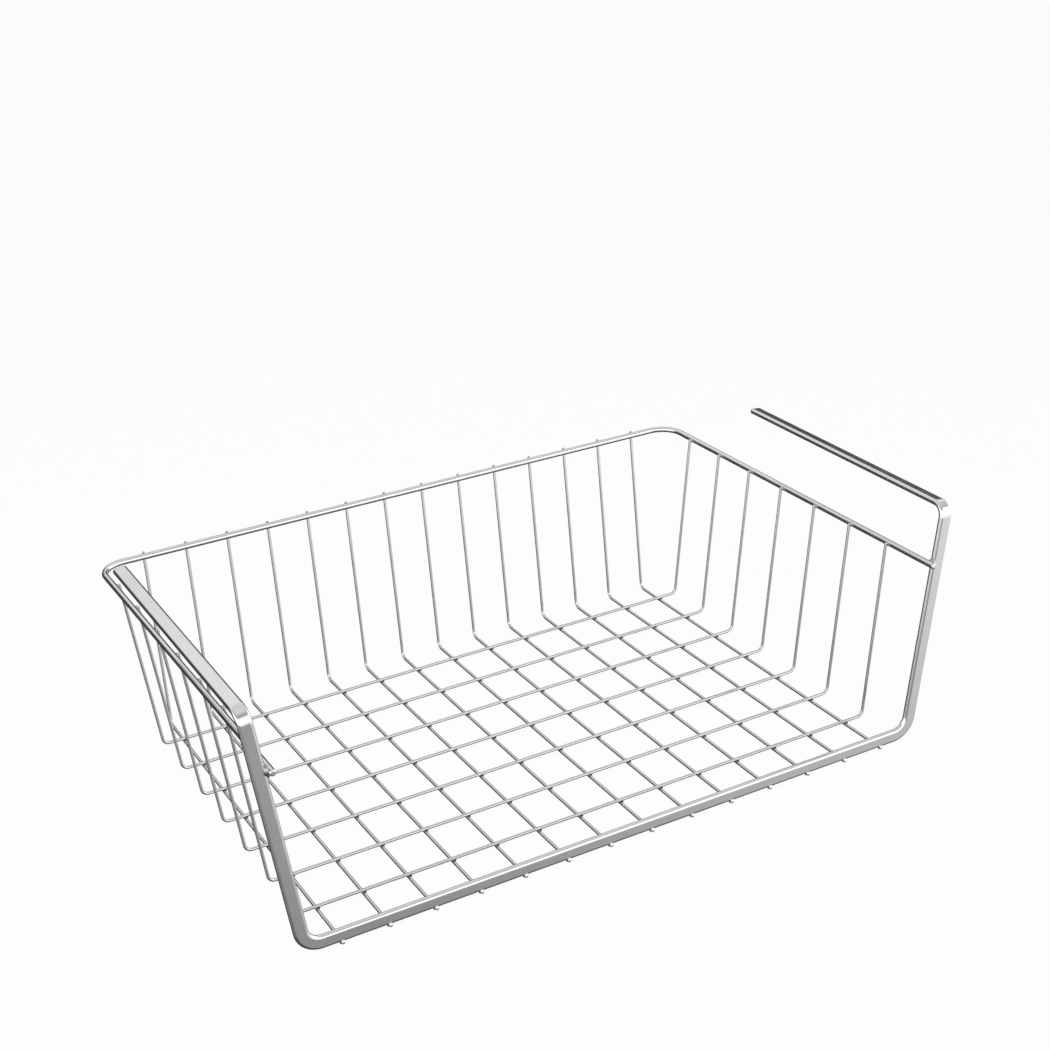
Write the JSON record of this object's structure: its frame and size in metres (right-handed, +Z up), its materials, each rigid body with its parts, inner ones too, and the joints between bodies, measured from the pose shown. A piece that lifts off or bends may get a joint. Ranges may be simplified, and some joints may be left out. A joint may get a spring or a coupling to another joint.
{
  "type": "under shelf basket",
  "caption": "Open-fronted wire basket hung under a shelf by a flat strap whose two arms hook over the board.",
  "frame": {"origin": "middle of the part's box in X and Y, on the plane that the floor's lowest wires lie on", "axes": "+X to the right along the front bar, +Y from the open front to the back wall, +Z up"},
  "size_m": [0.406, 0.2608, 0.1419],
  "materials": {
    "plated_strap": "bright nickel-chrome plate over flattened steel strap, slightly satin",
    "plated_rim": "bright nickel-chrome plate over drawn steel wire",
    "plated_wire": "bright nickel-chrome plate over thin drawn steel wire",
    "plated_weld": "plated weld bead, slightly rough"
  },
  "bodies": {
    "root": {"hanger_strap": "plated_strap", "rim_wire": "plated_rim", "long_wire_01": "plated_wire", "long_wire_02": "plated_wire", "long_wire_03": "plated_wire", "long_wire_04": "plated_wire", "long_wire_05": "plated_wire", "long_wire_06": "plated_wire", "long_wire_07": "plated_wire", "long_wire_08": "plated_wire", "long_wire_09": "plated_wire", "long_wire_10": "plated_wire", "long_wire_11": "plated_wire", "long_wire_12": "plated_wire", "long_wire_13": "plated_wire", "long_wire_14": "plated_wire", "cross_wire_1": "plated_wire", "cross_wire_2": "plated_wire", "cross_wire_3": "plated_wire", "cross_wire_4": "plated_wire", "cross_wire_5": "plated_wire", "cross_wire_6": "plated_wire", "cross_wire_7": "plated_wire", "rim_weld_left": "plated_weld", "rim_weld_right": "plated_weld"}
  },
  "joints": []
}
